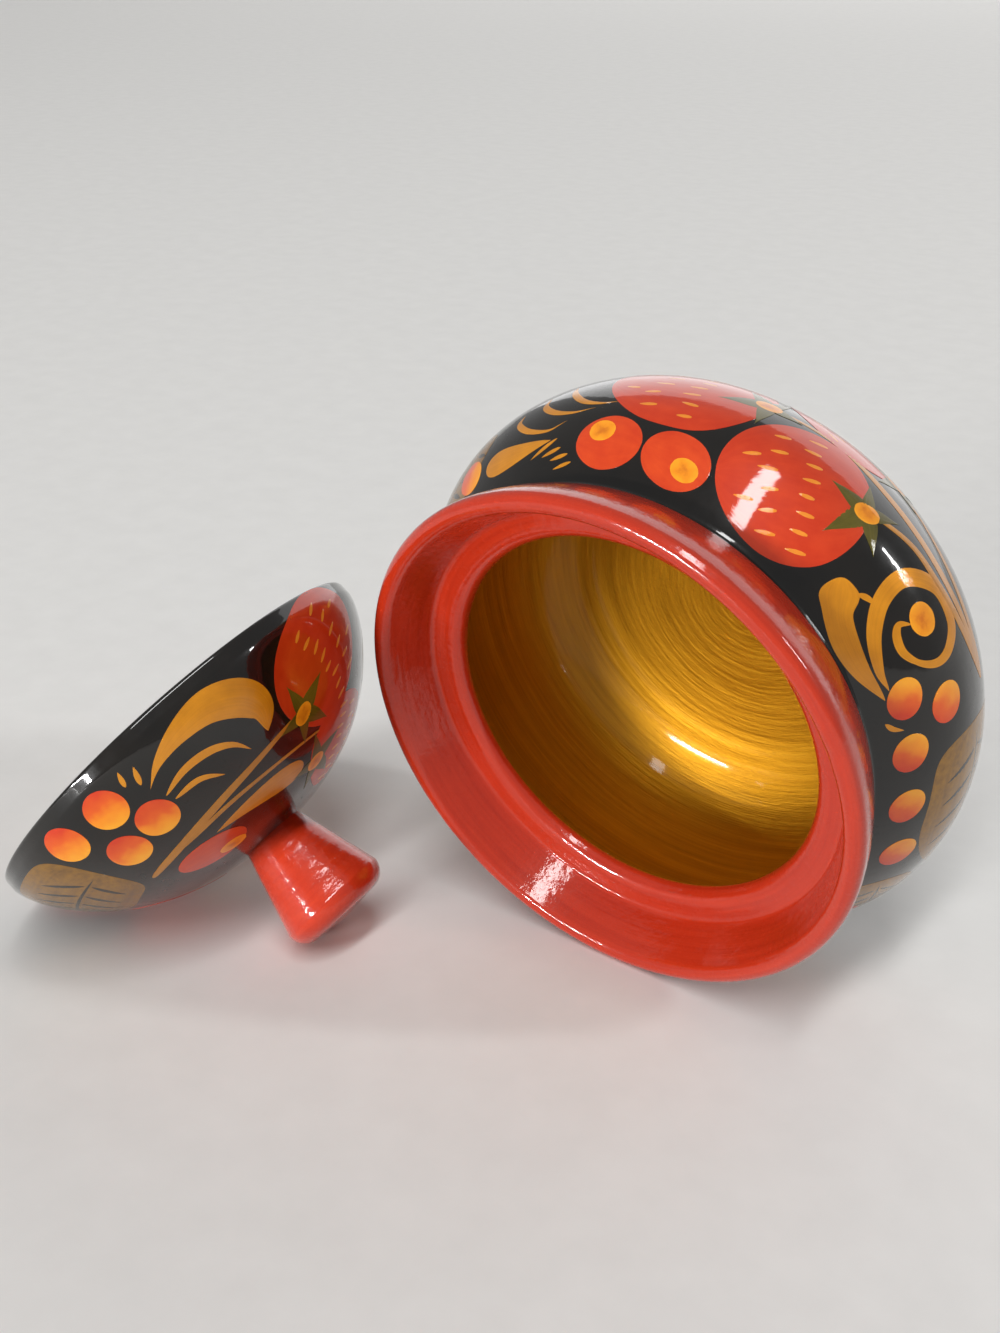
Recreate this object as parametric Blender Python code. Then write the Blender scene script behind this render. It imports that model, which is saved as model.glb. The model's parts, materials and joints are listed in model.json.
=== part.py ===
"""A turned wooden jar lying open on a table, with its lift-off lid leaning on its knob beside it.

Units are metres, +Z is up, and the origin is the middle of the footprint on the table.
The jar's mouth faces -Y. Each turned piece is drawn as a half profile of (radius, height)
points, with height measured along its own axis.
"""

import math

import bmesh
import bpy
from mathutils import Matrix, Vector

# Jar, outside. Heights are above its flat base.
JAR_HEIGHT = 0.0680
BASE_R = 0.0300
BASE_ROUND = 0.0012
BELLY_R = 0.0597
BELLY_HEIGHT = 0.0343
COLLAR_HEIGHT = 0.0148
COLLAR_WALL = 0.0032
LIP_ROUND = 0.0021
COLLAR_FULLNESS = 1.5

# Jar mouth: the recess that holds the lid, its flat ledge and the rounded throat below it.
SEAT_R = 0.0462
SEAT_ROUND = 0.0007
RECESS_DEPTH = 0.0104
RECESS_FLARE = 0.0038
LEDGE_WIDTH = 0.0033
THROAT_ROLL = 0.0032
THROAT_DROP = 0.0031

# Jar, inside: a round shoulder over a wide and nearly flat floor.
BELLY_WALL = 0.0082
FLOOR_THICKNESS = 0.0080
FLOOR_FLATNESS = 3.0

# Lid. Heights are above the lower corner of its rim.
LID_CLEARANCE = 0.0006
LID_EDGE = 0.0029
LID_ROUND = 0.0007
DOME_HEIGHT = 0.0292
DOME_POWER = 2.37
DOME_SHOULDER = 0.73
SEAT_RING = 0.0081
HOLLOW_DEPTH = 0.0145

# Knob, glued by a round tenon into a blind socket in the lid.
KNOB_FOOT_R = 0.0069
KNOB_END_R = 0.0119
KNOB_LENGTH = 0.0226
KNOB_ROUND = 0.0042
KNOB_CROWN = 0.0006
KNOB_ROUND_SWEEP = 84
TENON_R = 0.0045
TENON_LENGTH = 0.0095
GLUE_GAP = 0.0003

# How the open jar and its lid lie on the table.
LID_TURN = math.radians(8.2)
LID_BEARING = math.radians(218.9)
LID_TUCK = 0.0036

# Fineness of the turned surfaces.
JAR_SEGMENTS = 60
LID_SEGMENTS = 60
KNOB_SEGMENTS = 36
CURVE_STEPS = 9
SHOULDER_STEPS = 6
FLARE_STEPS = 5
ROUND_STEPS = 6
CORNER_STEPS = 3
SMOOTH_ANGLE = math.radians(35)
MERGE_DISTANCE = 1e-7

# Headings and limits of the search for the tilt at which a piece rests.
FRONT = math.radians(270)
STEEPEST_TILT = math.radians(80)
HALVINGS = 60

# Radii and heights that follow from these.
NECK_R = SEAT_R + COLLAR_WALL
NECK_HEIGHT = JAR_HEIGHT - COLLAR_HEIGHT
LIP_R = SEAT_R + RECESS_FLARE + 2 * LIP_ROUND
SEAT_HEIGHT = JAR_HEIGHT - RECESS_DEPTH
THROAT_R = SEAT_R - LEDGE_WIDTH - THROAT_ROLL
THROAT_HEIGHT = SEAT_HEIGHT - THROAT_DROP
INNER_R = BELLY_R - BELLY_WALL
LID_R = SEAT_R - LID_CLEARANCE
HOLLOW_R = LID_R - SEAT_RING

BLACK_LACQUER = ("black_lacquer", (0.008, 0.007, 0.006), 0.12)
RED_LACQUER = ("red_lacquer", (0.42, 0.035, 0.012), 0.18)


def steps(count):
    """Fractions from 0 to 1, both ends included."""
    return [i / count for i in range(count + 1)]


def ellipse_arc(centre, radii, start, end, count=CURVE_STEPS):
    """Points of an ellipse from angle start to angle end, in degrees, 0 pointing outward."""
    angles = [math.radians(start + (end - start) * t) for t in steps(count)]
    return [(centre[0] + radii[0] * math.cos(a), centre[1] + radii[1] * math.sin(a)) for a in angles]


def semi_axis(rise, radius, radius_there):
    """Height of an ellipse of that radius which narrows to radius_there after that rise."""
    return rise / math.sqrt(1 - (radius_there / radius) ** 2)


def narrowed_angle(radius, radius_there):
    """Angle on an ellipse, in degrees, where its radius has narrowed to radius_there."""
    return math.degrees(math.acos(radius_there / radius))


def corner_round(before, corner, after, radius, count=CORNER_STEPS):
    """A corner between two straight runs, rounded to about that radius."""
    here = Vector(corner)
    start = here + (Vector(before) - here).normalized() * radius
    end = here + (Vector(after) - here).normalized() * radius
    curve = [start * (1 - t) ** 2 + here * (2 * t * (1 - t)) + end * t ** 2 for t in steps(count)]
    return [tuple(point) for point in curve]


def jar_outside():
    """Belly and full flared collar, from the rounded foot up to the outer side of the lip."""
    lower = semi_axis(BELLY_HEIGHT, BELLY_R, BASE_R)
    upper = semi_axis(NECK_HEIGHT - BELLY_HEIGHT, BELLY_R, NECK_R)
    centre = (0.0, BELLY_HEIGHT)
    foot_angle = -narrowed_angle(BELLY_R, BASE_R)
    neck_angle = narrowed_angle(BELLY_R, NECK_R)
    below = ellipse_arc(centre, (BELLY_R, lower), foot_angle, 0)
    above = ellipse_arc(centre, (BELLY_R, upper), 0, neck_angle, SHOULDER_STEPS)
    foot = corner_round((0.0, 0.0), (BASE_R, 0.0), below[1], BASE_ROUND)
    lip_height = JAR_HEIGHT - LIP_ROUND
    flare = []
    for t in steps(FLARE_STEPS)[1:-1]:
        radius = LIP_R - (LIP_R - NECK_R) * (1 - t) ** COLLAR_FULLNESS
        flare.append((radius, NECK_HEIGHT + (lip_height - NECK_HEIGHT) * t))
    return foot + below[1:] + above[1:] + flare


def jar_lip():
    """The rounded lip, over the top from its outer side to its inner side."""
    centre = (LIP_R - LIP_ROUND, JAR_HEIGHT - LIP_ROUND)
    return ellipse_arc(centre, (LIP_ROUND, LIP_ROUND), 0, 180, ROUND_STEPS)


def jar_mouth():
    """Flared recess wall, flat ledge and rounded throat, from the top down."""
    lip_inside = (LIP_R - 2 * LIP_ROUND, JAR_HEIGHT - LIP_ROUND)
    seat = (SEAT_R, SEAT_HEIGHT)
    ledge_end = (SEAT_R - LEDGE_WIDTH, SEAT_HEIGHT)
    roll = (THROAT_ROLL, THROAT_DROP)
    throat = ellipse_arc((ledge_end[0], THROAT_HEIGHT), roll, 90, 180, CORNER_STEPS)
    return corner_round(lip_inside, seat, ledge_end, SEAT_ROUND) + throat


def jar_inside():
    """The hollowed belly below the throat, down to the middle of its floor."""
    upper = semi_axis(THROAT_HEIGHT - BELLY_HEIGHT, INNER_R, THROAT_R)
    throat_angle = narrowed_angle(INNER_R, THROAT_R)
    above = ellipse_arc((0.0, BELLY_HEIGHT), (INNER_R, upper), throat_angle, 0, SHOULDER_STEPS)
    depth = BELLY_HEIGHT - FLOOR_THICKNESS
    below = []
    for angle in [math.pi / 2 * t for t in steps(CURVE_STEPS)[1:-1]]:
        inwards = math.cos(angle) ** (2 / FLOOR_FLATNESS)
        down = math.sin(angle) ** (2 / FLOOR_FLATNESS)
        below.append((INNER_R * inwards, BELLY_HEIGHT - depth * down))
    return above[1:] + below + [(0.0, FLOOR_THICKNESS)]


def jar_profile():
    return [(0.0, 0.0)] + jar_outside() + jar_lip() + jar_mouth() + jar_inside()


def dome_height(radius):
    """Height of the lid's domed top at a radius."""
    fall = max(0.0, 1 - (radius / LID_R) ** DOME_POWER)
    return LID_EDGE + (DOME_HEIGHT - LID_EDGE) * fall ** DOME_SHOULDER


def knob_seat_radius():
    return KNOB_FOOT_R + GLUE_GAP


def lid_top():
    """Domed top, from the flat that the knob stands on out to the rim."""
    seat_r = knob_seat_radius()
    start = math.asin(seat_r / LID_R)
    radii = [LID_R * math.sin(start + (math.pi / 2 - start) * t) for t in steps(2 * CURVE_STEPS)]
    return [(radius, dome_height(radius)) for radius in radii]


def lid_underside():
    """Rim, flat seat ring that lies on the jar's ledge, and hollow, from the rim inwards."""
    rim = corner_round((LID_R, LID_EDGE), (LID_R, 0.0), (HOLLOW_R, 0.0), LID_ROUND)
    hollow = ellipse_arc((0.0, 0.0), (HOLLOW_R, HOLLOW_DEPTH), 0, 90)
    return rim + hollow[:-1] + [(0.0, HOLLOW_DEPTH)]


def lid_profile():
    """The whole lid, from the middle of the socket's floor round to the middle of the hollow."""
    seat_height = dome_height(knob_seat_radius())
    socket_r = TENON_R + GLUE_GAP
    socket_floor = seat_height - TENON_LENGTH - 2 * GLUE_GAP
    socket = [(0.0, socket_floor), (socket_r, socket_floor), (socket_r, seat_height)]
    return socket + lid_top() + lid_underside()


def knob_profile():
    """Tenon, foot, flared stem and rounded end. Heights are the lid's."""
    foot = dome_height(knob_seat_radius()) + GLUE_GAP
    end = foot + KNOB_LENGTH
    tenon = [(0.0, foot - TENON_LENGTH), (TENON_R, foot - TENON_LENGTH), (TENON_R, foot)]
    widest = (KNOB_END_R, end - KNOB_CROWN - KNOB_ROUND)
    stem = []
    for t in steps(FLARE_STEPS)[:-1]:
        stem.append((KNOB_FOOT_R + (widest[0] - KNOB_FOOT_R) * t, foot + (widest[1] - foot) * t))
    centre = (KNOB_END_R - KNOB_ROUND, widest[1])
    rounded = ellipse_arc(centre, (KNOB_ROUND, KNOB_ROUND), 0, KNOB_ROUND_SWEEP, ROUND_STEPS)
    return tenon + stem + rounded + [(0.0, end)]


def support(profile, tilt):
    """How far a turned piece reaches below its axis when that axis dips by tilt."""
    return max(radius * math.cos(tilt) + height * math.sin(tilt) for radius, height in profile)


def resting_tilt(body, nose):
    """The dip of the axis at which the two profiles touch the table together."""
    low, high = 0.0, STEEPEST_TILT
    for _ in range(HALVINGS):
        middle = (low + high) / 2
        if support(nose, middle) < support(body, middle):
            low = middle
        else:
            high = middle
    return (low + high) / 2


def flattened(profile, segments):
    """The profile at the middle of a facet, where a piece of that many segments meets the table."""
    return [(radius * math.cos(math.pi / segments), height) for radius, height in profile]


def lacquer(look):
    name, colour, roughness = look
    material = bpy.data.materials.get(name)
    if material is None:
        material = bpy.data.materials.new(name)
        material.use_nodes = True
        shader = material.node_tree.nodes["Principled BSDF"]
        shader.inputs["Base Color"].default_value = (*colour, 1.0)
        shader.inputs["Roughness"].default_value = roughness
        shader.inputs["Metallic"].default_value = 0.0
        material.diffuse_color = (*colour, 1.0)
    return material


def turned(name, profile, segments, look):
    """A solid of revolution about its own Z, with the middle of a facet facing -Y."""
    mesh = bpy.data.meshes.new(name)
    work = bmesh.new()
    verts = [work.verts.new((radius, 0.0, height)) for radius, height in profile]
    edges = [work.edges.new(pair) for pair in zip(verts, verts[1:])]
    bmesh.ops.spin(
        work, geom=verts + edges, cent=(0, 0, 0), axis=(0, 0, 1),
        angle=2 * math.pi, steps=segments, use_merge=True, use_duplicate=False,
    )
    bmesh.ops.remove_doubles(work, verts=work.verts[:], dist=MERGE_DISTANCE)
    bmesh.ops.recalc_face_normals(work, faces=work.faces[:])
    half_facet = math.pi / segments
    spokes_to_front = round(FRONT / (2 * half_facet))
    turn = FRONT - spokes_to_front * 2 * half_facet + half_facet
    bmesh.ops.rotate(work, verts=work.verts[:], cent=(0, 0, 0), matrix=Matrix.Rotation(turn, 3, "Z"))
    work.to_mesh(mesh)
    work.free()
    mesh.shade_smooth()
    mesh.set_sharp_from_angle(angle=SMOOTH_ANGLE)
    mesh.materials.append(lacquer(look))
    piece = bpy.data.objects.new(name, mesh)
    bpy.context.scene.collection.objects.link(piece)
    return piece


def stand(name, place, heading, dip):
    """An empty whose Z axis dips below the horizon by dip and points along heading."""
    empty = bpy.data.objects.new(name, None)
    bpy.context.scene.collection.objects.link(empty)
    lean = Matrix.Rotation(heading - FRONT, 4, "Z") @ Matrix.Rotation(math.pi / 2 + dip, 4, "X")
    empty.matrix_world = Matrix.Translation(place) @ lean
    return empty


def footprint_middle(pieces):
    """Middle of the pieces' box in X and Y."""
    bpy.context.view_layer.update()
    corners = [piece.matrix_world @ vert.co for piece in pieces for vert in piece.data.vertices]
    low = [min(corner[axis] for corner in corners) for axis in range(2)]
    high = [max(corner[axis] for corner in corners) for axis in range(2)]
    return Vector(((low[0] + high[0]) / 2, (low[1] + high[1]) / 2, 0.0))


def main():
    for old in list(bpy.data.objects):
        bpy.data.objects.remove(old, do_unlink=True)

    jar_body = turned("jar_body", jar_profile(), JAR_SEGMENTS, BLACK_LACQUER)
    lid = turned("lid", lid_profile(), LID_SEGMENTS, BLACK_LACQUER)
    knob = turned("knob", knob_profile(), KNOB_SEGMENTS, RED_LACQUER)

    belly = flattened(jar_outside(), JAR_SEGMENTS)
    lip = flattened(jar_lip(), JAR_SEGMENTS)
    jar_dip = resting_tilt(belly, lip)
    jar_base = Vector((0.0, 0.0, support(belly, jar_dip)))

    dome = flattened(lid_top() + lid_underside(), LID_SEGMENTS)
    knob_end = flattened(knob_profile(), KNOB_SEGMENTS)
    lid_dip = resting_tilt(dome, knob_end)
    mouth = Vector((0.0, -math.cos(jar_dip) * (JAR_HEIGHT - LIP_ROUND), 0.0))
    lip_edge = mouth + Vector((-LIP_R, 0.0, 0.0))
    away = Vector((math.cos(LID_BEARING), math.sin(LID_BEARING), 0.0)) * (LID_R - LID_TUCK)
    lid_place = lip_edge + away + Vector((0.0, 0.0, support(dome, lid_dip)))

    jar_stand = stand("jar_stand", jar_base, FRONT, jar_dip)
    lid_stand = stand("lid_stand", lid_place, LID_TURN, lid_dip)
    jar_body.parent = jar_stand
    lid.parent = lid_stand
    knob.parent = lid_stand

    middle = footprint_middle([jar_body, lid, knob])
    jar_stand.location -= middle
    lid_stand.location -= middle
    bpy.context.view_layer.update()


main()
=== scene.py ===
"""Looks of a turned wooden jar, lacquered and painted with berries and leaves, lying open by its lid.

Units are metres and +Z is up. Each turned piece is a half profile of (radius, height) points along
its own axis. Paint lies on it in thin closed skins. A place on a turned piece is a bearing, in
degrees round the axis with 90 on the upper side, and a rise, in millimetres along the surface from
the jar's belly line towards its mouth, or from the lid's rim towards its knob.
"""

import json
import math
import random
from bisect import bisect_right

import bmesh
import bpy
from mathutils import Matrix, Quaternion, Vector, noise


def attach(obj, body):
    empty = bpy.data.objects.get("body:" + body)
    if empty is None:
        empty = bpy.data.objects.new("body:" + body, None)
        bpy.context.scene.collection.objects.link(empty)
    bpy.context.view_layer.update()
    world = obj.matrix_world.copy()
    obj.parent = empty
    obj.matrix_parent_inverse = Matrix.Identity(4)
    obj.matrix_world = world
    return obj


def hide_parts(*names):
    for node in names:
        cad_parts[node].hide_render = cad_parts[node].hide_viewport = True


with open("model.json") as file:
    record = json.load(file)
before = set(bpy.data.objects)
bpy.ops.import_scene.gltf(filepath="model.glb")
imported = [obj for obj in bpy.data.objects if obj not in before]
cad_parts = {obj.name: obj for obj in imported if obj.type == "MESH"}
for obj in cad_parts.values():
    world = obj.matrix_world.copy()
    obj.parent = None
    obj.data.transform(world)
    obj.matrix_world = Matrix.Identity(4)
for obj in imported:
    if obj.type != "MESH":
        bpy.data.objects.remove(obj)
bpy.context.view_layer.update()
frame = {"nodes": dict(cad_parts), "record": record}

MM = 0.001

# Jar, outside. Heights are above its flat base.
JAR_HEIGHT = 0.0680
BASE_R = 0.0300
BASE_ROUND = 0.0012
BELLY_R = 0.0597
BELLY_HEIGHT = 0.0343
NECK_R = 0.0494
NECK_HEIGHT = 0.0532
LIP_R = 0.0542
LIP_ROUND = 0.0021
COLLAR_FULLNESS = 1.5
PAINT_LINE_HEIGHT = 0.0546

# Jar mouth and inside.
SEAT_R = 0.0462
SEAT_ROUND = 0.0007
SEAT_HEIGHT = 0.0576
LEDGE_WIDTH = 0.0033
THROAT_ROLL = 0.0032
THROAT_DROP = 0.0031
INNER_R = 0.0515
FLOOR_THICKNESS = 0.0080
FLOOR_FLATNESS = 3.0

# Lid. Heights are above the lower corner of its rim.
LID_R = 0.0456
LID_EDGE = 0.0029
LID_ROUND = 0.0007
DOME_HEIGHT = 0.0292
DOME_POWER = 2.37
DOME_SHOULDER = 0.73
HOLLOW_R = 0.0375
HOLLOW_DEPTH = 0.0145

# Knob.
KNOB_SEAT_R = 0.0072
KNOB_FOOT_R = 0.0069
KNOB_END_R = 0.0119
KNOB_LENGTH = 0.0226
KNOB_ROUND = 0.0042
KNOB_CROWN = 0.0006
GLUE_GAP = 0.0003

# Turning ridges left on the gold inside. Each draws its own strength and phase, wavers round the
# axis, and fades towards the shoulder.
RIDGE_HEIGHT = 0.00006
RIDGE_PITCH = 0.0013
RIDGE_FADE = 0.034
RIDGE_DRAWS = 200
RIDGE_STRENGTH = (0.1, 1.0)
RIDGE_PHASE = (-0.3, 0.3)
RIDGE_WAVER = 0.4
RIDGE_WAVES_ROUND = 1.7
RIDGE_WAVES_INWARD = 0.6

# The tool step round the floor, and a ding in the lip at a bearing in degrees.
STEP_R = 0.0365
STEP_REACH = 0.0022
STEP_HEIGHT = 0.00015
DING_BEARING = 21.0
DING_REACH = 0.0014
DING_DEPTH = 0.00045

# How far hand-painted borders wander along the profile.
BORDER_WANDER = 0.00022
BORDER_REACH = 0.0016
BORDER_WAVES = 2.3

# Fineness of the turned meshes.
SEGMENTS = 216
KNOB_SEGMENTS = 96
CURVE_STEPS = 64
LOWER_STEP = 0.0012
OUTER_STEP = 0.0005
FINE_STEP = 0.00035
NORMAL_STEP = 0.0004
SAME_PLACE = 1e-9
NEARLY_ZERO = 1e-7

# Thickness of one film of paint, of its edge, and of the part of it that is sunk in the piece. A
# narrow film is no thicker than a share of its width, and films vary a little in thickness.
FILM = 0.000012
FILM_EDGE = 0.000012
FILM_ROOT = 0.00006
THIN_FILM_SHARE = 0.04
FILM_VARIETY = 0.3
FILM_CROWN_POWER = 8
FILM_SHARP_ANGLE = 50

# How the hand wavers: the share of a stroke's width, the waves along it, and the spread that makes
# strokes differ. A stroke's direction is taken a path step ahead and behind.
HAND_WANDER = 0.03
HAND_WAVES = 3
HAND_SPREAD = 90
PATH_STEP = 0.004


# Turned surfaces

def steps(count):
    """Fractions from 0 to 1, both ends included."""
    return [i / count for i in range(count + 1)]


def arc(centre, radii, start, end, count=CURVE_STEPS):
    """Points of an ellipse from angle start to angle end, in degrees, 0 pointing outward."""
    angles = [math.radians(start + (end - start) * t) for t in steps(count)]
    return [(centre[0] + radii[0] * math.cos(a), centre[1] + radii[1] * math.sin(a)) for a in angles]


def narrowing_arc(centre_height, radius, rise, radius_there, outward_first):
    """A quarter ellipse of that radius, cut where it has narrowed to radius_there after that rise."""
    semi = rise / math.sqrt(1 - (radius_there / radius) ** 2)
    angle = math.degrees(math.acos(radius_there / radius))
    ends = (0, angle) if outward_first else (angle, 0)
    return arc((0.0, centre_height), (radius, semi), *ends)


def corner(before, at, after, radius, count=6):
    """A corner between two straight runs, rounded to about that radius."""
    here = Vector(at)
    start = here + (Vector(before) - here).normalized() * radius
    end = here + (Vector(after) - here).normalized() * radius
    curve = [start * (1 - t) ** 2 + here * (2 * t * (1 - t)) + end * t ** 2 for t in steps(count)]
    return [tuple(point) for point in curve]


def jar_stretches():
    """The jar's half profile, from the middle of its base round to the middle of its floor."""
    below = narrowing_arc(BELLY_HEIGHT, BELLY_R, -BELLY_HEIGHT, BASE_R, False)
    above = narrowing_arc(BELLY_HEIGHT, BELLY_R, NECK_HEIGHT - BELLY_HEIGHT, NECK_R, True)
    foot = [(0.0, 0.0)] + corner((0.0, 0.0), (BASE_R, 0.0), below[2], BASE_ROUND)
    lip_height = JAR_HEIGHT - LIP_ROUND
    flare = []
    for t in steps(CURVE_STEPS):
        radius = LIP_R - (LIP_R - NECK_R) * (1 - t) ** COLLAR_FULLNESS
        flare.append((radius, NECK_HEIGHT + (lip_height - NECK_HEIGHT) * t))
    lower_collar = [point for point in flare if point[1] <= PAINT_LINE_HEIGHT]
    upper_collar = [point for point in flare if point[1] > PAINT_LINE_HEIGHT]
    seat = (SEAT_R, SEAT_HEIGHT)
    lip_middle = Vector((LIP_R - LIP_ROUND, lip_height))
    to_seat = Vector(seat) - lip_middle
    lip_end = math.atan2(to_seat.y, to_seat.x) - math.acos(LIP_ROUND / to_seat.length)
    lip = arc(lip_middle, (LIP_ROUND, LIP_ROUND), 0, 360 + math.degrees(lip_end), 24)
    ledge_end = (SEAT_R - LEDGE_WIDTH, SEAT_HEIGHT)
    crease = corner(lip[-1], seat, ledge_end, SEAT_ROUND)
    throat_height = SEAT_HEIGHT - THROAT_DROP
    throat = arc((ledge_end[0], throat_height), (THROAT_ROLL, THROAT_DROP), 90, 180, 16)
    throat_r = ledge_end[0] - THROAT_ROLL
    shoulder = narrowing_arc(BELLY_HEIGHT, INNER_R, throat_height - BELLY_HEIGHT, throat_r, False)
    floor = []
    for angle in [math.pi / 2 * t for t in steps(2 * CURVE_STEPS)[1:-1]]:
        inwards = math.cos(angle) ** (2 / FLOOR_FLATNESS)
        down = math.sin(angle) ** (2 / FLOOR_FLATNESS)
        floor.append((INNER_R * inwards, BELLY_HEIGHT - (BELLY_HEIGHT - FLOOR_THICKNESS) * down))
    floor.append((0.0, FLOOR_THICKNESS))
    return [foot + below[3:], above[1:] + lower_collar[1:], upper_collar + lip[1:] + crease + throat,
            shoulder[1:] + floor]


def dome_height(radius):
    fall = max(0.0, 1 - (radius / LID_R) ** DOME_POWER)
    return LID_EDGE + (DOME_HEIGHT - LID_EDGE) * fall ** DOME_SHOULDER


def lid_stretches():
    """The lid's half profile, from the middle of its hollow round the rim to the top of the dome."""
    hollow = arc((0.0, 0.0), (HOLLOW_R, HOLLOW_DEPTH), 90, 0)
    rim = corner((HOLLOW_R, 0.0), (LID_R, 0.0), (LID_R, LID_EDGE), LID_ROUND)
    radii = [LID_R * math.cos(math.pi / 2 * t) for t in steps(2 * CURVE_STEPS)]
    dome = [(radius, dome_height(radius)) for radius in radii[:-1]] + [(0.0, DOME_HEIGHT)]
    return [[(0.0, HOLLOW_DEPTH)] + hollow[1:], rim[:1], rim[1:] + dome[:1], dome[1:]]


def knob_stretches():
    """The knob's half profile, in the lid's heights, from its foot to the middle of its end."""
    foot = dome_height(KNOB_SEAT_R)
    end = foot + GLUE_GAP + KNOB_LENGTH
    widest = end - KNOB_CROWN - KNOB_ROUND
    rounded = arc((KNOB_END_R - KNOB_ROUND, widest), (KNOB_ROUND, KNOB_ROUND), 0, 84, 24)
    return [[(0.0, foot - GLUE_GAP), (KNOB_FOOT_R, foot - GLUE_GAP)] + rounded + [(0.0, end)]]


class Turned:
    """A turned surface that tells its radius, height and normal at any run along its profile."""

    def __init__(self, stretches, zero_stretch):
        self.points, self.runs, self.ends = [], [], []
        for stretch in stretches:
            for point in stretch:
                self.extend(Vector(point))
            self.ends.append(self.runs[-1])
        self.zero = self.ends[zero_stretch]

    def extend(self, point):
        gap = (point - self.points[-1]).length if self.points else 0.0
        if self.points and gap < SAME_PLACE:
            return
        self.runs.append(self.runs[-1] + gap if self.runs else 0.0)
        self.points.append(point)

    def at(self, run):
        """(radius, height) at a run, as a vector."""
        i = min(max(bisect_right(self.runs, run) - 1, 0), len(self.runs) - 2)
        share = (run - self.runs[i]) / (self.runs[i + 1] - self.runs[i])
        return self.points[i].lerp(self.points[i + 1], min(max(share, 0.0), 1.0))

    def normal(self, run):
        ahead = self.at(run + NORMAL_STEP) - self.at(run - NORMAL_STEP)
        return Vector((ahead.y, -ahead.x)).normalized()

    def place(self, bearing, run, lift=0.0):
        """The point at a bearing in radians and a run, lifted off the surface."""
        radius, height = self.at(run) + self.normal(run) * lift
        return Vector((radius * math.cos(bearing), radius * math.sin(bearing), height))


def ring_runs(turned, fineness):
    """Runs of the mesh's rings: each stretch is divided evenly at about its own step."""
    runs = [0.0]
    for end, step in zip(turned.ends, fineness):
        start = runs[-1]
        count = max(1, round((end - start) / step))
        runs += [start + (end - start) * t for t in steps(count)[1:]]
    return runs


def turned_mesh(name, turned, fineness, segments, relief=None):
    """A closed mesh of revolution with one material slot for each stretch.

    The attribute "turning" holds the bearing's cosine and sine and the run in millimetres."""
    runs = ring_runs(turned, fineness)
    bearings = [2 * math.pi * i / segments for i in range(segments)]
    verts, turning, rings = [], [], []
    for run in runs:
        pole = turned.at(run).x < NEARLY_ZERO
        ring = []
        for bearing in bearings[:1] if pole else bearings:
            shift, lift = relief(bearing, run) if relief and not pole else (0.0, 0.0)
            ring.append(len(verts))
            verts.append(turned.place(bearing, run + shift, lift))
            turning.append((math.cos(bearing), math.sin(bearing), run / MM))
        rings.append(ring)
    faces, slots = [], []
    for lower, upper, run in zip(rings, rings[1:], runs):
        slot = sum(run > end - NEARLY_ZERO for end in turned.ends)
        for i in range(segments):
            j = (i + 1) % segments
            corners = [lower[i % len(lower)], lower[j % len(lower)],
                       upper[j % len(upper)], upper[i % len(upper)]]
            faces.append(list(dict.fromkeys(corners)))
            slots.append(slot)
    mesh = bpy.data.meshes.new(name)
    mesh.from_pydata(verts, [], faces)
    mesh.attributes.new("turning", "FLOAT_VECTOR", "POINT")
    mesh.attributes["turning"].data.foreach_set("vector", [x for item in turning for x in item])
    mesh.polygons.foreach_set("material_index", slots)
    mesh.shade_smooth()
    return mesh


def jar_relief(turned):
    """Wandering paint borders, a ding in the lip and, on the gold, a tool step and fading ridges."""
    draw = random.Random(7)
    floor_end = turned.ends[-1]
    strength = [draw.uniform(*RIDGE_STRENGTH) for _ in range(RIDGE_DRAWS)]
    phase = [draw.uniform(*RIDGE_PHASE) for _ in range(RIDGE_DRAWS)]
    borders = (turned.ends[1], turned.ends[2])

    def relief(bearing, run):
        around = Vector((math.cos(bearing), math.sin(bearing), 0.0))
        shift = lift = 0.0
        for border in borders:
            near = max(0.0, 1 - abs(run - border) / BORDER_REACH)
            if near:
                wave = noise.noise(around * BORDER_WAVES + Vector((0, 0, border / MM)))
                shift += BORDER_WANDER * near * wave
        radius, height = turned.at(run)
        if borders[0] < run < borders[1] and height > JAR_HEIGHT - 2 * LIP_ROUND:
            gap = (bearing - math.radians(DING_BEARING)) * LIP_R / DING_REACH
            off_crest = (radius - LIP_R + LIP_ROUND) / DING_REACH
            lift -= DING_DEPTH * math.exp(-gap * gap - off_crest * off_crest)
        inwards = floor_end - run
        if run > borders[1] and inwards > 0:
            turn = inwards / RIDGE_PITCH
            i = int(turn)
            mix = turn - i
            place = around * RIDGE_WAVES_ROUND + Vector((0, 0, turn * RIDGE_WAVES_INWARD))
            waver = RIDGE_WAVER * noise.noise(place)
            waver += phase[i] * (1 - mix) + phase[i + 1] * mix
            boldness = strength[i] * (1 - mix) + strength[i + 1] * mix
            fade = math.exp(-(inwards / RIDGE_FADE) ** 2)
            lift += RIDGE_HEIGHT * fade * boldness * math.sin(2 * math.pi * (turn + waver))
            from_step = (radius - STEP_R) / STEP_REACH
            lift += STEP_HEIGHT * from_step * math.exp(-from_step * from_step)
        return shift, lift

    return relief


# Paint skins

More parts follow.
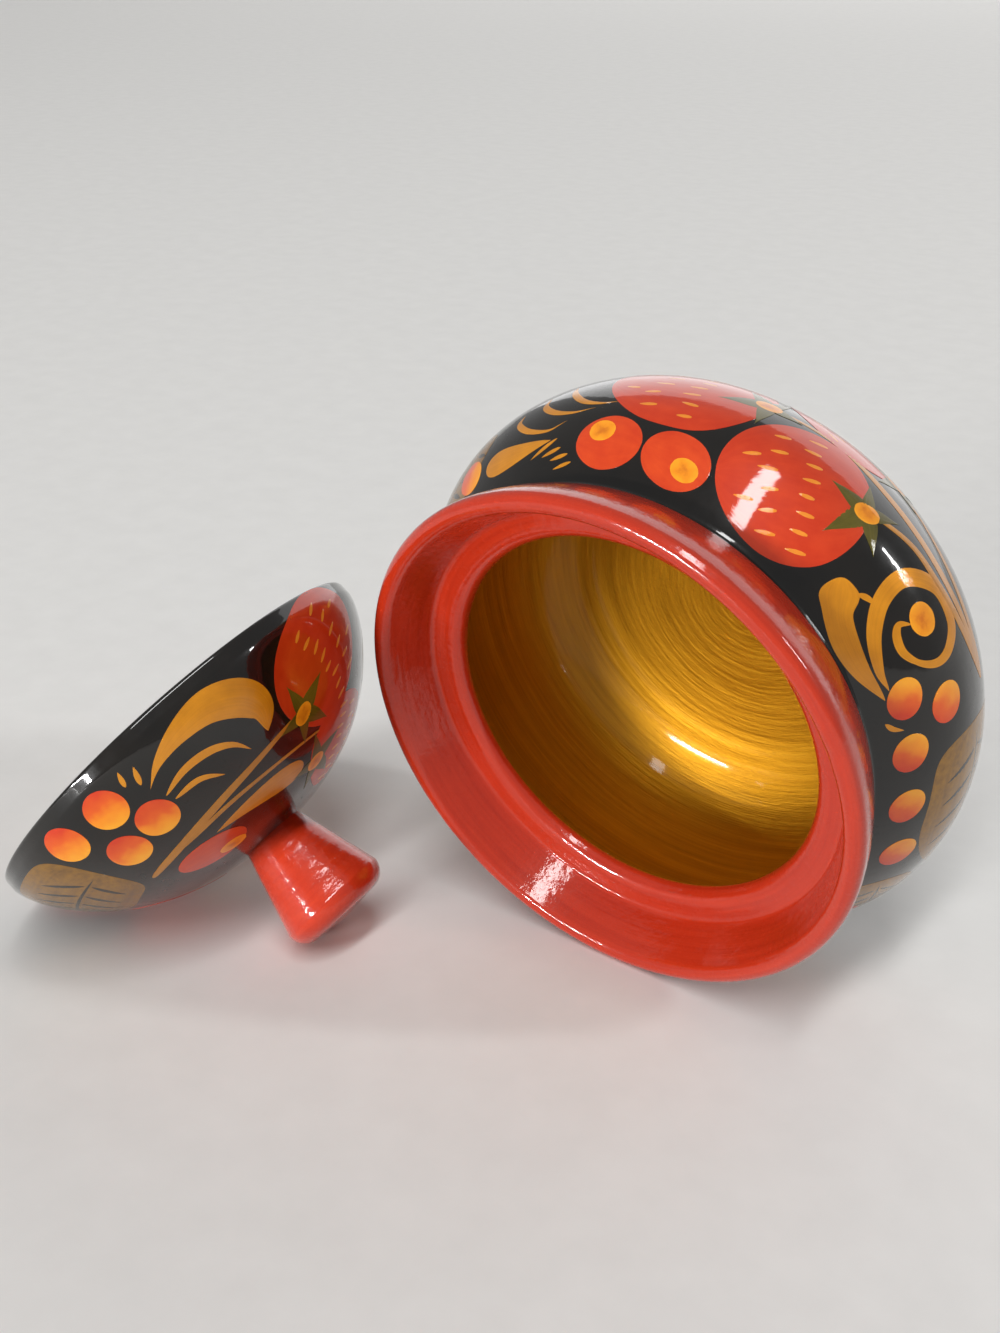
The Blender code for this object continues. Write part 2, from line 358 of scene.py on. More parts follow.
class Skin:
    """Thin closed films of one paint on one turned piece, gathered into a single mesh.

    The attribute "paint" holds each film's own coordinates, -1 to 1 along and across it, and a
    number of its own."""

    def __init__(self, turned, layer, seed):
        self.turned, self.layer = turned, layer
        self.draw = random.Random(seed)
        self.verts, self.faces, self.paint = [], [], []

    def stroke(self, path, width, along=24, across=8):
        """A film along a path of (bearing, rise) places; width(t) in millimetres, t from 0 to 1."""
        number = self.draw.random()
        stations = [(1 - math.cos(math.pi * t)) / 2 for t in steps(along)]
        rings = []
        for t in stations:
            if t in (0.0, 1.0):
                rings.append([self.add(path, t, 0.0, 0.0, number, False)])
                continue
            wander = noise.noise(Vector((HAND_WAVES * t, HAND_SPREAD * number, 0.0)))
            span = width(t) * MM * (1 + HAND_WANDER * wander)
            sides = [2 * s - 1 for s in steps(across)]
            top = [self.add(path, t, side, span, number, True) for side in sides]
            root = [self.add(path, t, side, span, number, False) for side in reversed(sides)]
            rings.append(top + root)
        for near, far in zip(rings, rings[1:]):
            count = max(len(near), len(far))
            for i in range(count):
                j = (i + 1) % count
                corners = [near[i % len(near)], far[i % len(far)],
                           far[j % len(far)], near[j % len(near)]]
                self.faces.append(list(dict.fromkeys(corners)))

    def add(self, path, t, side, span, number, on_top):
        """A corner of a film, at t along it and side, -1 to 1, across its span."""
        turned = self.turned
        here = follow(path, t)
        ahead, behind = follow(path, t + PATH_STEP), follow(path, t - PATH_STEP)
        run = turned.zero + here[1] * MM
        radius = turned.at(run).x
        tangent = Vector((math.radians(ahead[0] - behind[0]) * radius, (ahead[1] - behind[1]) * MM))
        sideways = Vector((-tangent.y, tangent.x)).normalized() * (side * span / 2)
        run += sideways.y
        bearing = math.radians(here[0]) + sideways.x / turned.at(run).x
        film = min(FILM, THIN_FILM_SHARE * span)
        crown = 1 - abs(side) ** FILM_CROWN_POWER + FILM_VARIETY * number
        lift = self.layer * FILM + FILM_EDGE + film * crown
        if not on_top:
            lift = -FILM_ROOT
        self.verts.append(turned.place(bearing, run, lift))
        self.paint.append((2 * t - 1, side, number))
        return len(self.verts) - 1

    def patch(self, centre, length, width, turn, outline, along=24, across=10):
        """A film about a centre. Turn 0 points round the axis and 90 points up the profile."""
        path = straight(self.turned, centre, length, turn)
        self.stroke(path, lambda t: width * outline(2 * t - 1), along, across)

    def mesh(self, name):
        mesh = bpy.data.meshes.new(name)
        mesh.from_pydata(self.verts, [], self.faces)
        mesh.attributes.new("paint", "FLOAT_VECTOR", "POINT")
        mesh.attributes["paint"].data.foreach_set("vector", [x for item in self.paint for x in item])
        work = bmesh.new()
        work.from_mesh(mesh)
        bmesh.ops.recalc_face_normals(work, faces=work.faces[:])
        work.to_mesh(mesh)
        work.free()
        mesh.shade_smooth()
        mesh.set_sharp_from_angle(angle=math.radians(FILM_SHARP_ANGLE))
        return mesh


def follow(path, t):
    """A smooth curve through the path's places, at t from 0 to 1, run on straight past its ends."""
    if len(path) == 2:
        return tuple(a + (b - a) * t for a, b in zip(*path))
    spans = len(path) - 1
    i = min(max(int(t * spans), 0), spans - 1)
    u = t * spans - i
    first = path[i - 1] if i else tuple(2 * a - b for a, b in zip(path[0], path[1]))
    last = path[i + 2] if i + 2 <= spans else tuple(2 * a - b for a, b in zip(path[-1], path[-2]))
    place = []
    for a, b, c, d in zip(first, path[i], path[i + 1], last):
        place.append(b + u / 2 * (c - a + u * (2 * a - 5 * b + 4 * c - d + u * (3 * (b - c) + d - a))))
    return tuple(place)


def offset(turned, centre, ahead, aside, turn):
    """The place that lies so many millimetres ahead and aside of a centre."""
    turn = math.radians(turn)
    rise = centre[1] + ahead * math.sin(turn) + aside * math.cos(turn)
    round_it = ahead * math.cos(turn) - aside * math.sin(turn)
    radius = turned.at(turned.zero + rise * MM).x / MM
    return centre[0] + math.degrees(round_it / radius), rise


def straight(turned, centre, length, turn):
    return [offset(turned, centre, -length / 2, 0, turn), offset(turned, centre, length / 2, 0, turn)]


def oval(p):
    return math.sqrt(max(0.0, 1 - p * p))


def egg(p):
    """A strawberry's outline: broad by its stalk, at -1, and narrower at its tip."""
    return oval(p) * (1 - 0.12 * p) * 0.99


def sepal(p):
    """A calyx leaf's outline: broad near its root, at -1, and drawn out to a point."""
    return oval(p) ** 0.8 * (1 - p) * 0.72


def broad_leaf(p):
    """A leaf's outline: cut off short at its stalk, at -1, and pointed at its tip."""
    return math.sqrt(1 - max(-p, 0.0) ** 8) * max(0.0, 1 - max(p, 0.0) ** 2) ** 0.8


def comma(t):
    """A brush stroke's width: a hair at the start, full near its round end."""
    return t ** 0.9 * math.sqrt(max(0.0, 1 - t ** 5)) * 1.25


def club(t):
    """A brush stroke's width: slender, with a broad round head at its end."""
    head = math.exp(-((t - 0.84) / 0.15) ** 2)
    shaft = math.sin(math.pi / 2 * min(1.0, t / 0.5)) ** 0.8
    return (0.6 * shaft + 0.4 * head) * math.sqrt(1 - t ** 8)


def hair(t):
    """A thin stroke's width: fullest past its middle, pointed at both ends."""
    return math.sin(math.pi * t ** 0.8) ** 0.8


def hair_outline(p):
    """The same thin stroke as an outline, from -1 to 1."""
    return hair((p + 1) / 2)


def swell(t):
    """A broad stroke's width: it grows slowly and ends in a point."""
    return math.sin(math.pi * t ** 1.6) ** 0.85


def curl(t):
    """A spiral's width: it swells late and ends in a point, after a thicker start at its inner end."""
    inner_end = 0.5 * math.sin(math.pi * min(1.0, t / 0.34)) ** 0.7
    return max(math.sin(math.pi * t * t) ** 0.85, inner_end)


class Ornament:
    """The painted skins of one turned piece, each in its own layer over those before it.

    A seed row is its place along the berry and its count, and a sepal is its turn and length. Sizes
    are in millimetres, and shares are of the length or width that they belong to."""

    LAYERS = {"leaves": 0, "gold": 1, "veins": 1, "stems": 2, "strawberries": 3, "berries": 3,
              "red_berries": 3, "seeds": 4, "calyxes": 4, "spots": 5}
    SEED_ROWS = ((-0.10, 8), (0.34, 6), (0.68, 2))
    SEPALS = ((22, 9.5), (-48, 8.5), (92, 8.0), (-112, 7.0), (172, 7.0))
    STALK_INSET = 1.0
    SEED_ROOM_SHARE = 0.45
    SEED_SCATTER = 0.9
    SEED_ROW_BOW = 1.6
    SEED_TURN = 8
    SEED_LENGTH = (3.2, 4.2)
    SEED_WIDTH = 0.8
    SEPAL_WIDTH_SHARE = 0.42
    STALK_SPOT = (5.2, 3.9)
    BERRY_SPOT_SHARE = 0.40
    MIDRIB_SHARE = 0.84
    MIDRIB_WIDTH = 0.7
    VEIN_PLACES = (-0.66, -0.36, -0.06, 0.24, 0.5)
    VEIN_START = 0.6
    VEIN_REACH_SHARE = 0.36
    VEIN_LEAD = 0.1
    VEIN_SLANT = 0.22
    VEIN_WIDTH = 1.1

    def __init__(self, turned):
        self.turned = turned
        self.skins = {kind: Skin(turned, layer, kind) for kind, layer in self.LAYERS.items()}

    def strawberry(self, stalk, tip_turn, length, width, twist=0):
        """A berry with its stalk spot at a place, with rows of seeds and a calyx turned by a twist."""
        turned = self.turned
        centre = offset(turned, stalk, length / 2 - self.STALK_INSET, 0, tip_turn)
        self.skins["strawberries"].patch(centre, length, width, tip_turn, egg, 44, 24)
        draw = self.skins["seeds"].draw
        for p, count in self.SEED_ROWS:
            room = width * egg(p) * self.SEED_ROOM_SHARE
            for i in range(count):
                aside = room * (2 * (i + 0.5) / count - 1)
                scatter = draw.uniform(-self.SEED_SCATTER, self.SEED_SCATTER)
                ahead = p * length / 2 + scatter - self.SEED_ROW_BOW * (aside / room) ** 2
                place = offset(turned, centre, ahead, aside, tip_turn)
                turn = tip_turn + draw.uniform(-self.SEED_TURN, self.SEED_TURN)
                seed_length = draw.uniform(*self.SEED_LENGTH)
                self.skins["seeds"].patch(place, seed_length, self.SEED_WIDTH, turn, hair_outline, 6, 2)
        for sepal_turn, reach in self.SEPALS:
            turn = tip_turn + twist + sepal_turn
            place = offset(turned, stalk, reach * 0.5, 0, turn)
            self.skins["calyxes"].patch(place, reach, reach * self.SEPAL_WIDTH_SHARE, turn, sepal, 14, 6)
        self.skins["spots"].patch(stalk, *self.STALK_SPOT, tip_turn, oval, 12, 6)

    def berry(self, place, length, width, turn):
        self.skins["berries"].patch(place, length, width, turn, oval, 20, 12)

    def red_berry(self, place, length, width, turn, spot):
        self.skins["red_berries"].patch(place, length, width, turn, oval, 24, 12)
        share = self.BERRY_SPOT_SHARE
        self.skins["spots"].patch(spot, length * share, width * share, turn, oval, 12, 6)

    def gold(self, path, width, shape=hair):
        self.skins["gold"].stroke(path, lambda t: width * shape(t), 20 + 8 * len(path), 10)

    def stem(self, path, width):
        """A stem that is thin at its start and fuller towards its end."""
        def shape(t):
            return width * (0.45 + 0.55 * t) * oval(2 * t - 1) ** 0.6

        self.skins["stems"].stroke(path, shape, 80, 4)

    def veined_leaf(self, base, length, width, turn):
        """A broad leaf that starts at a place, with a midrib and slanting veins."""
        turned = self.turned
        centre = offset(turned, base, length / 2, 0, turn)
        self.skins["leaves"].patch(centre, length, width, turn, broad_leaf, 44, 24)
        midrib = straight(turned, centre, length * self.MIDRIB_SHARE, turn)
        self.skins["veins"].stroke(midrib, lambda t: self.MIDRIB_WIDTH * hair(t), 32, 2)
        for p in self.VEIN_PLACES:
            for side in (-1, 1):
                root = offset(turned, centre, p * length / 2, side * self.VEIN_START, turn)
                reach = side * width * self.VEIN_REACH_SHARE * broad_leaf(p + self.VEIN_LEAD)
                tip = offset(turned, centre, (p + self.VEIN_SLANT) * length / 2, reach, turn)
                self.skins["veins"].stroke([root, tip], lambda t: self.VEIN_WIDTH * hair(t), 12, 2)


# The painting. Its places were measured in the photo on the fitted pieces, then corrected.

def placer(turn):
    """Functions that give one place, or a path of places, turned so many degrees round."""
    def at(bearing, rise):
        return bearing + turn, rise

    def along(*places):
        return [at(*place) for place in places]

    return at, along


def paint_jar(art, turn):
    """Half of the band round the belly; it is painted twice."""
    at, along = placer(turn)
    art.strawberry(at(75.3, -7.1), 6, 31.3, 29.5)
    art.strawberry(at(50.0, 1.8), 25, 27.8, 28.8, 23)
    art.strawberry(at(49.4, -15.9), -24, 25.8, 25)
    art.stem(along((75, -7), (62, -8.5), (48, -6.5), (30, -5.5), (12, -7)), 2.4)
    art.stem(along((51, 1.8), (41, -2.0), (32, -2.7), (20, -4.6), (12, -7)), 2.4)
    art.stem(along((49, -16), (38, -11.5), (26, -8.5), (12, -7)), 2.4)
    art.red_berry(at(96.8, 14.0), 13.6, 10.8, 0, at(98.9, 11.9))
    art.red_berry(at(82.2, 14.4), 13.8, 10.6, -12, at(79.6, 15.5))
    art.gold(along((20.9, 17.6), (28, 19.4), (34.3, 19.5), (39.4, 18.2), (42.6, 15.9),
                   (45.0, 13.6)), 7.8, club)
    art.gold(along((41.0, 13.2), (39.3, 12.2), (37.4, 11.7)), 1.1)
    art.gold(along((31.0, 7.8), (32.2, 10.0), (30.4, 11.4), (27.2, 11.4), (23.9, 9.0), (22.4, 5.6),
                   (23.4, 2.0), (26.8, -1.2), (33, -1.3), (38.0, 4.2), (37.6, 10.2), (33.3, 14.6),
                   (27, 16.6), (22.3, 16.4)), 3.3, curl)
    art.skins["spots"].patch(at(30.5, 5.3), 6.2, 5.4, 0, oval, 14, 6)
    for place in ((19.6, 14.2), (14.9, 6.4), (8.3, 15.2), (355.8, 15.7), (342.6, 14.5)):
        art.berry(at(*place), 7.8, 6.6, -30)
    art.gold(along((16.2, 18.8), (14.6, 17.6), (13.6, 15.8)), 1.0)
    art.veined_leaf(at(7, -2.0), 36, 25, 177)
    art.veined_leaf(at(332, 13.5), 24, 15, 200)
    art.gold(along((98.7, 4.9), (102.7, 5.5), (106.9, 4.6), (110.7, 1.5), (113.1, -2.8)), 1.4, swell)
    art.gold(along((103.0, 6.7), (107.6, 7.6), (112.6, 6.7), (116.5, 3.9), (117.2, 0.5)), 1.4, swell)
    art.gold(along((108.1, 9.5), (112.2, 11.2), (117.8, 10.0), (121.9, 6.9), (121.9, 4.2)), 1.4, swell)
    art.gold(along((110.6, 13.5), (119.9, 14.5), (129.5, 14.5)), 6.4, comma)
    art.gold(along((109.0, 13.3), (115.0, 16.9)), 0.8)
    art.gold(along((107.5, 15.3), (112.0, 16.9)), 0.8)
    art.gold(along((105.3, 16.7), (109.6, 17.8)), 0.8)
    art.gold(along((104.0, 18.3), (108.4, 19.6)), 0.7)
    art.berry(at(136, 13.0), 8.4, 7.2, 150)


def paint_lid(art, turn):
    """Half of the painting on the dome; it is painted twice."""
    at, along = placer(turn)
    art.strawberry(at(98.2, 18.6), 215, 30.8, 25, -18)
    art.strawberry(at(89.7, 32.5), 190, 23.8, 22)
    art.stem(along((100.5, 17.8), (118, 20.2), (133.5, 21.7), (157.5, 23.4), (178.8, 23.9)), 2.5)
    art.stem(along((82.8, 24.9), (113.3, 24.8), (136.5, 24.3), (152.7, 24.2), (166, 23.6)), 1.5)
    art.gold(along((147.5, 8.8), (141, 5.9), (132.4, 4.2), (123.1, 4.2), (115, 7.2), (111.5, 11.4),
                   (112.7, 16.4)), 7.4, swell)
    art.gold(along((146.2, 12.0), (138, 10.6), (130, 11.2), (124, 13.5), (120, 17.2)), 1.7)
    art.gold(along((145.4, 13.9), (137, 14.4), (130.7, 17.6)), 1.3)
    art.gold(along((150.6, 5.0), (149.0, 1.9)), 1.0)
    art.gold(along((147.8, 6.8), (145.6, 3.2)), 1.1)
    for place in ((158.5, 5.5), (152.8, 14.2), (173.7, 4.5), (167.0, 14.9)):
        art.berry(at(*place), 8.8, 8.4, 70)
    art.veined_leaf(at(180, 13.0), 34, 23, 0)
    art.gold(along((148.7, 28.2), (133.5, 28.9), (118, 29.8), (100, 30.9)), 7.0, comma)
    art.red_berry(at(160.5, 32.4), 15.0, 10.0, 155, at(152.8, 36.0))


# Materials

def new_material(name):
    material = bpy.data.materials.new(name)
    material.use_nodes = True
    return material, material.node_tree, material.node_tree.nodes["Principled BSDF"]


def add(tree, kind, inputs=(), **settings):
    """A node with its settings, and its inputs set or linked."""
    node = tree.nodes.new("ShaderNode" + kind)
    for key, value in settings.items():
        setattr(node, key, value)
    for key, value in dict(inputs).items():
        if isinstance(value, bpy.types.NodeSocket):
            tree.links.new(value, node.inputs[key])
        else:
            node.inputs[key].default_value = value
    return node


def ramp(tree, share, stops):
    """A colour ramp with stops of (position, colour)."""
    node = add(tree, "ValToRGB", {"Fac": share})
    elements = node.color_ramp.elements
    while len(elements) < len(stops):
        elements.new(0.5)
    for element, (position, colour) in zip(elements, stops):
        element.position = position
        element.color = (*colour, 1.0)
    return node.outputs["Color"]


def scaled(tree, attribute, scale):
    """A named attribute's vector, scaled."""
    source = add(tree, "Attribute", attribute_name=attribute)
    node = add(tree, "VectorMath", {0: source.outputs["Vector"], 1: scale}, operation="MULTIPLY")
    return node.outputs["Vector"]


def cloud(tree, vector, scale, detail=3.0, roughness=0.55):
    inputs = {"Vector": vector, "Scale": scale, "Detail": detail, "Roughness": roughness}
    return add(tree, "TexNoise", inputs).outputs["Fac"]


def math_node(tree, operation, a, b):
    return add(tree, "Math", {0: a, 1: b}, operation=operation).outputs["Value"]


def ranged(tree, value, low, high):
    """Noise, most of which lies from 0.25 to 0.75, spread from low to high."""
    inputs = {"Value": value, "From Min": 0.25, "From Max": 0.75, "To Min": low, "To Max": high}
    return add(tree, "MapRange", inputs).outputs["Result"]


def bump(tree, shader, height, strength, distance):
    node = add(tree, "Bump", {"Height": height, "Strength": strength, "Distance": distance})
    tree.links.new(node.outputs["Normal"], shader.inputs["Normal"])
    return node


def clear_coat(shader, roughness=0.04):
    shader.inputs["Coat Weight"].default_value = 1.0
    shader.inputs["Coat Roughness"].default_value = roughness
    shader.inputs["Coat IOR"].default_value = 1.5
    shader.inputs["Specular IOR Level"].default_value = 0.08


def object_vector(tree):
    return add(tree, "TexCoord").outputs["Object"]


def black_lacquer():
    """Deep brown-black with faint clouding, a slightly uneven gloss and a gently wavy surface."""
    material, tree, shader = new_material("black_lacquer")
    here = object_vector(tree)
    shades = [(0.3, (0.004, 0.0035, 0.003)), (0.75, (0.010, 0.0075, 0.0055))]
    tree.links.new(ramp(tree, cloud(tree, here, 70.0), shades), shader.inputs["Base Color"])
    tree.links.new(ranged(tree, cloud(tree, here, 420.0, 5.0), 0.16, 0.30), shader.inputs["Roughness"])
    waves = bump(tree, shader, cloud(tree, here, 130.0, 3.0), 0.06, 0.0012)
    tree.links.new(waves.outputs["Normal"], shader.inputs["Coat Normal"])
    clear_coat(shader)
    return material


def red_lacquer(name, dark, light):
    """Brushed red: faint streaks run round the axis under a wavy clear coat."""
    material, tree, shader = new_material(name)
    streaks = cloud(tree, scaled(tree, "turning", (1.6, 1.6, 0.9)), 1.0, 4.0, 0.6)
    tree.links.new(ramp(tree, streaks, [(0.3, dark), (0.7, light)]), shader.inputs["Base Color"])
    here = object_vector(tree)
    tree.links.new(ranged(tree, cloud(tree, here, 350.0, 4.0), 0.2, 0.34), shader.inputs["Roughness"])
    faint = math_node(tree, "MULTIPLY", streaks, 0.4)
    uneven = math_node(tree, "ADD", faint, cloud(tree, here, 420.0, 4.0))
    waves = bump(tree, shader, uneven, 0.13, 0.0008)
    tree.links.new(waves.outputs["Normal"], shader.inputs["Coat Normal"])
    clear_coat(shader)
    return material


def gold_inside():
    """Gold paint over turned wood: low rings round the axis, broken here and there, under lacquer."""
    material, tree, shader = new_material("gold_inside")
    rings = cloud(tree, scaled(tree, "turning", (1.3, 1.3, 0.75)), 1.0, 4.0, 0.6)
    grain = cloud(tree, scaled(tree, "turning", (22.0, 22.0, 3.0)), 1.0, 3.0, 0.6)
    marks = math_node(tree, "ADD", rings, math_node(tree, "MULTIPLY", grain, 0.3))
    shades = [(0.40, (0.42, 0.195, 0.010)), (0.68, (0.54, 0.26, 0.014)), (0.95, (0.66, 0.34, 0.022))]
    tree.links.new(ramp(tree, marks, shades), shader.inputs["Base Color"])
    tree.links.new(ranged(tree, grain, 0.48, 0.62), shader.inputs["Roughness"])
    bump(tree, shader, marks, 0.3, 0.0008)
    shader.inputs["Metallic"].default_value = 1.0
    clear_coat(shader, 0.08)
    shader.inputs["Coat Weight"].default_value = 0.3
    return material


def paint_parts(tree):
    """A film's own coordinates: along it, across it and its own number."""
    source = add(tree, "Attribute", attribute_name="paint")
    return add(tree, "SeparateXYZ", {0: source.outputs["Vector"]}).outputs


def brushed_paint(name, dark, light, streaking, metallic=0.0, grain=260.0):
    """Paint with brush streaks along each film and a fine grain, under lacquer."""
    material, tree, shader = new_material(name)
    streaks = cloud(tree, scaled(tree, "paint", (0.9, streaking, 40.0)), 1.0, 4.0, 0.6)
    grained = cloud(tree, object_vector(tree), grain, 3.0)
    mean = math_node(tree, "MULTIPLY", math_node(tree, "ADD", streaks, grained), 0.5)
    tree.links.new(ramp(tree, mean, [(0.3, dark), (0.7, light)]), shader.inputs["Base Color"])
    tree.links.new(ranged(tree, grained, 0.3, 0.45), shader.inputs["Roughness"])
    waves = bump(tree, shader, streaks, 0.1, 0.0004)
    tree.links.new(waves.outputs["Normal"], shader.inputs["Coat Normal"])
    shader.inputs["Metallic"].default_value = metallic
    clear_coat(shader)
    return material


def shaded_berry():
    """Each berry goes from red to yellow orange along its film."""
    material, tree, shader = new_material("berry_paint")
    parts = paint_parts(tree)
    wobble = cloud(tree, object_vector(tree), 240.0, 2.0)
    along = math_node(tree, "MULTIPLY", parts["X"], 0.40)
    share = math_node(tree, "ADD", along, ranged(tree, wobble, 0.38, 0.62))
    stops = [(0.12, (0.60, 0.036, 0.004)), (0.42, (0.72, 0.10, 0.005)), (0.60, (0.84, 0.24, 0.006)),
             (0.85, (0.90, 0.36, 0.012))]
    tree.links.new(ramp(tree, share, stops), shader.inputs["Base Color"])
    tree.links.new(ranged(tree, wobble, 0.3, 0.42), shader.inputs["Roughness"])
    clear_coat(shader)
    return material


def spot_paint():
    """Orange dots, dabbed a little darker in the middle."""
    material, tree, shader = new_material("spot_paint")
    parts = paint_parts(tree)
    along = math_node(tree, "MULTIPLY", parts["X"], parts["X"])
    across = math_node(tree, "MULTIPLY", parts["Y"], parts["Y"])
    rest = math_node(tree, "SUBTRACT", 1.0, along)
    reach = math_node(tree, "MAXIMUM", along, math_node(tree, "MULTIPLY", across, rest))
    dabs = cloud(tree, object_vector(tree), 620.0, 3.0)
    outward = math_node(tree, "MULTIPLY", reach, 0.6)
    share = math_node(tree, "ADD", outward, math_node(tree, "MULTIPLY", dabs, 0.7))
    stops = [(0.28, (0.62, 0.16, 0.006)), (0.5, (0.82, 0.27, 0.008)), (0.8, (0.90, 0.34, 0.012))]
    tree.links.new(ramp(tree, share, stops), shader.inputs["Base Color"])
    tree.links.new(ranged(tree, dabs, 0.3, 0.4), shader.inputs["Roughness"])
    clear_coat(shader)
    return material


def paints():
    """The material of each kind of painted skin."""
    return {
        "strawberries": brushed_paint("strawberry_paint", (0.50, 0.026, 0.004), (0.62, 0.048, 0.007), 5.0),
        "red_berries": brushed_paint("red_berry_paint", (0.56, 0.034, 0.005), (0.68, 0.066, 0.008), 3.0),
        "berries": shaded_berry(),
        "spots": spot_paint(),
        "seeds": brushed_paint("seed_paint", (0.74, 0.20, 0.012), (0.84, 0.31, 0.030), 2.0),
        "gold": brushed_paint("gold_paint", (0.54, 0.195, 0.004), (0.72, 0.28, 0.007), 7.0, 0.2),
        "stems": brushed_paint("stem_paint", (0.40, 0.15, 0.008), (0.58, 0.24, 0.020), 2.0, 0.2),
        "leaves": brushed_paint("leaf_paint", (0.15, 0.062, 0.004), (0.34, 0.16, 0.010), 6.0, 0.45, 900.0),
        "veins": brushed_paint("vein_paint", (0.008, 0.005, 0.003), (0.020, 0.011, 0.006), 2.0),
        "calyxes": brushed_paint("calyx_paint", (0.070, 0.056, 0.004), (0.125, 0.100, 0.008), 4.0),
    }


# Placing pieces

def standing(origin, axis):
    """A turned piece's axes: Z along its axis and Y on its upper side."""
    across = Vector((0.0, 0.0, 1.0)).cross(axis).normalized()
    above = axis.cross(across)
    return Matrix.Translation(origin) @ Matrix((across, above, axis)).transposed().to_4x4()


def axis_middle(node):
    """The mean of a turned node's corners, which lies on its axis, and the corners."""
    corners = [vert.co for vert in frame["nodes"][node].data.vertices]
    return sum(corners, Vector()) / len(corners), corners


def jar_standing():
    base = frame["record"]["mounts"][0]
    return standing(Vector(base["pos_m"]), -Vector(base["axis"]).normalized())


def lid_standing():
    middle, corners = axis_middle("lid")
    axis = (axis_middle("knob")[0] - middle).normalized()
    rim_plane = min((corner_point - middle).dot(axis) for corner_point in corners)
    return standing(middle + axis * rim_plane, axis)


def put(mesh, name, matrix, body, materials):
    piece = bpy.data.objects.new(name, mesh)
    bpy.context.scene.collection.objects.link(piece)
    for material in materials:
        mesh.materials.append(material)
    mesh.transform(matrix)
    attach(piece, body)
    return piece


def put_ornament(art, prefix, matrix, body, finishes):
    for kind, skin in art.skins.items():
        name = prefix + "_" + kind
        put(skin.mesh(name), name, matrix, body, [finishes[kind]])


def build_jar(black, rim_red, gold, finishes):
    jar = Turned(jar_stretches(), 0)
    fineness = (LOWER_STEP, OUTER_STEP, OUTER_STEP, FINE_STEP)
    mesh = turned_mesh("painted_jar", jar, fineness, SEGMENTS, jar_relief(jar))
    jar_matrix = jar_standing()
    piece = put(mesh, "painted_jar", jar_matrix, "jar", [black, black, rim_red, gold])
    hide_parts("jar_body")
    art = Ornament(jar)
    for turn in (0, 180):
        paint_jar(art, turn)
    put_ornament(art, "jar", jar_matrix, "jar", finishes)


def build_lid(black, rim_red, gold, finishes):
    lid = Turned(lid_stretches(), 2)
    fineness = (OUTER_STEP, OUTER_STEP, FINE_STEP, OUTER_STEP)
    mesh = turned_mesh("painted_lid", lid, fineness, SEGMENTS)
    lid_matrix = lid_standing()
    piece = put(mesh, "painted_lid", lid_matrix, "lid", [gold, rim_red, black, black])
    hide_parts("lid")
    art = Ornament(lid)
    for turn in (0, 180):
        paint_lid(art, turn)
    put_ornament(art, "lid", lid_matrix, "lid", finishes)
    return lid_matrix


def build_knob(lid_matrix, knob_red):
    knob = Turned(knob_stretches(), 0)
    mesh = turned_mesh("lacquered_knob", knob, (FINE_STEP,), KNOB_SEGMENTS)
    piece = put(mesh, "lacquered_knob", lid_matrix, "lid", [knob_red])
    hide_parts("knob")


def build():
    black = black_lacquer()
    rim_red = red_lacquer("rim_red", (0.41, 0.022, 0.006), (0.51, 0.034, 0.010))
    knob_red = red_lacquer("knob_red", (0.51, 0.029, 0.008), (0.61, 0.043, 0.012))
    gold = gold_inside()
    finishes = paints()
    build_jar(black, rim_red, gold, finishes)
    lid_matrix = build_lid(black, rim_red, gold, finishes)
    build_knob(lid_matrix, knob_red)


# Stage, light and camera

FLOOR_REACH = 6.0
CAMERA_PLACE = Vector((0.1670, -0.2218, 0.2026))
CAMERA_AIM = Vector((-0.0069, 0.0160, 0.0541))
CAMERA_ROLL = math.radians(0.65)
FOCAL_PIXELS = 1600
IMAGE_HEIGHT = 1333
SENSOR = 36.0
WORLD_STRENGTH = 0.14
BACKGROUND = 0.35
LIGHT_AIM = Vector((0.0, 0.0, 0.05))


def pale_floor():
    mesh = bpy.data.meshes.new("floor")
    reach = FLOOR_REACH
    corners = [(-reach, -reach, 0), (reach, -reach, 0), (reach, reach, 0), (-reach, reach, 0)]
    mesh.from_pydata(corners, [], [(0, 1, 2, 3)])
    material, tree, shader = new_material("pale_floor")
    grain = cloud(tree, object_vector(tree), 90.0, 4.0)
    shades = [(0.3, (0.80, 0.79, 0.77)), (0.7, (0.83, 0.82, 0.80))]
    tree.links.new(ramp(tree, grain, shades), shader.inputs["Base Color"])
    shader.inputs["Roughness"].default_value = 0.9
    shader.inputs["Specular IOR Level"].default_value = 0.1
    mesh.materials.append(material)
    floor = bpy.data.objects.new("floor", mesh)
    bpy.context.scene.collection.objects.link(floor)


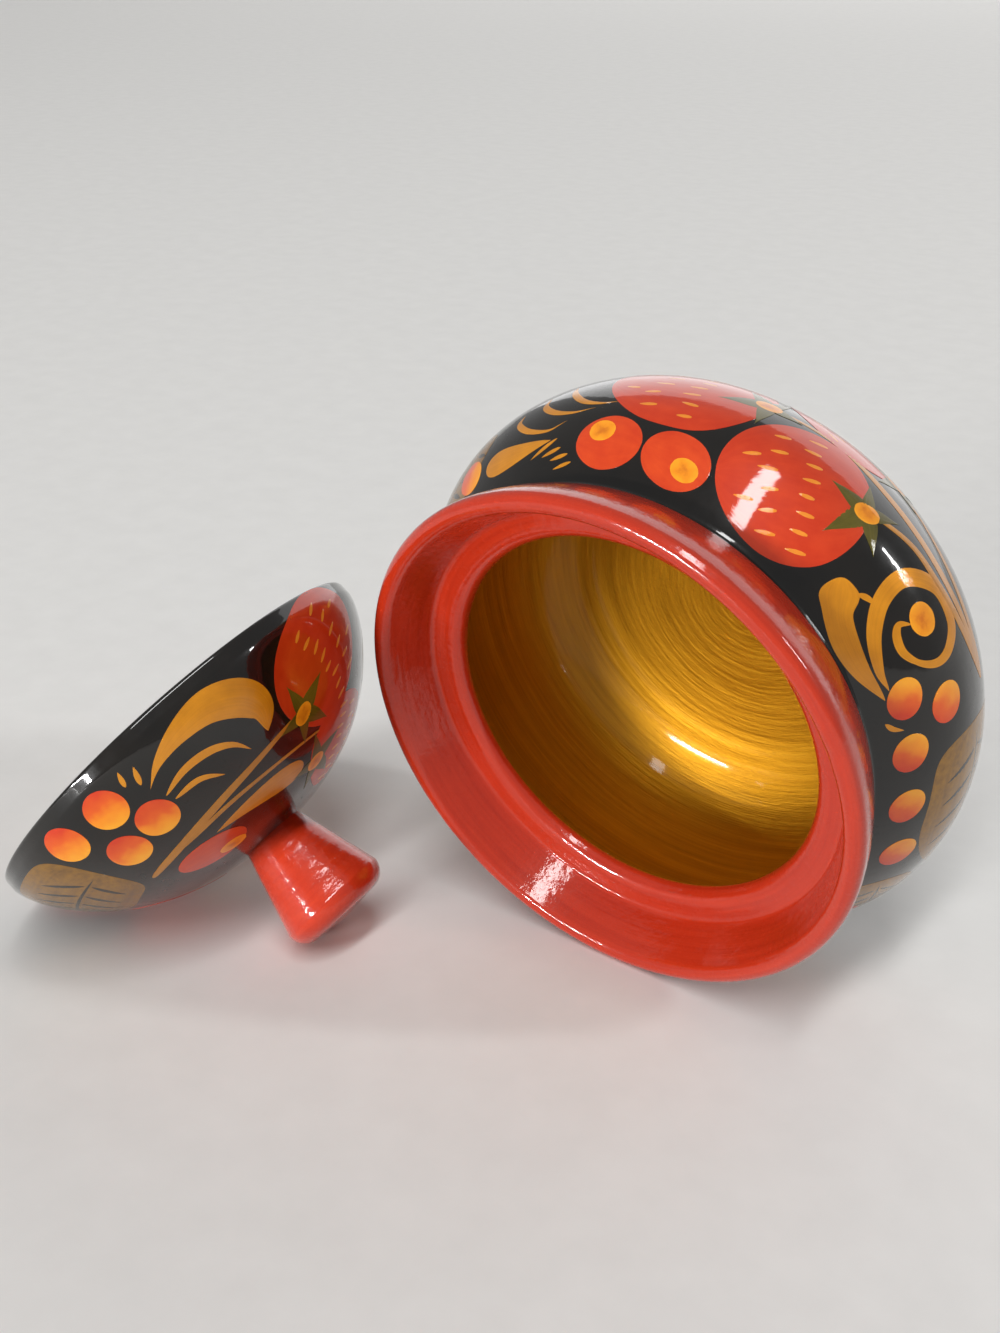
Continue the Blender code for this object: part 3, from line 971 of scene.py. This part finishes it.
def soft_light(name, azimuth, elevation, distance, size, level, roll=0.0):
    """A rectangular light that lights a white card facing it to that level, where 1 is white.

    Azimuth 0 is in front of the jar's mouth and 90 on its right. Roll turns it about its beam."""
    lamp = bpy.data.lights.new(name, "AREA")
    lamp.shape = "RECTANGLE"
    lamp.size, lamp.size_y = size
    lamp.energy = level * (math.pi * distance) ** 2
    light = bpy.data.objects.new(name, lamp)
    bpy.context.scene.collection.objects.link(light)
    a, e = math.radians(azimuth), math.radians(elevation)
    back = Vector((math.sin(a) * math.cos(e), -math.cos(a) * math.cos(e), math.sin(e)))
    light.location = LIGHT_AIM + back * distance
    turned = (-back).to_track_quat("-Z", "Y") @ Quaternion((0, 0, 1), math.radians(roll))
    light.rotation_euler = turned.to_euler()
    light.visible_camera = False


def studio():
    soft_light("ceiling_light", 25, 60, 6.9, (0.7, 6.4), 0.54, -28)
    soft_light("front_window", -10, 5, 2.0, (0.62, 0.07), 0.8)
    soft_light("side_window", 115, 30, 3.0, (0.15, 0.6), 0.2)
    soft_light("wall_bounce", 190, 22, 4.0, (6.5, 3.6), 0.5)
    world = bpy.data.worlds.new("studio")
    world.use_nodes = True
    tree = world.node_tree
    path = add(tree, "LightPath").outputs
    seen = math_node(tree, "MAXIMUM", path["Is Camera Ray"], path["Is Glossy Ray"])
    seen = math_node(tree, "MAXIMUM", seen, path["Is Transmission Ray"])
    inputs = {"Value": seen, "To Min": WORLD_STRENGTH, "To Max": BACKGROUND}
    strength = add(tree, "MapRange", inputs).outputs["Result"]
    tree.links.new(strength, tree.nodes["Background"].inputs["Strength"])
    tree.nodes["Background"].inputs["Color"].default_value = (1.0, 1.0, 1.0, 1.0)
    bpy.context.scene.world = world


def camera():
    data = bpy.data.cameras.new("camera")
    data.sensor_width = SENSOR
    data.lens = FOCAL_PIXELS / IMAGE_HEIGHT * SENSOR
    data.clip_start = 0.01
    view = bpy.data.objects.new("camera", data)
    bpy.context.scene.collection.objects.link(view)
    aim = (CAMERA_AIM - CAMERA_PLACE).to_track_quat("-Z", "Y")
    turned = (aim @ Quaternion((0, 0, 1), CAMERA_ROLL)).to_matrix().to_4x4()
    view.matrix_world = Matrix.Translation(CAMERA_PLACE) @ turned
    bpy.context.scene.camera = view


build()
pale_floor()
studio()
camera()
bpy.context.scene.view_settings.view_transform = "Standard"
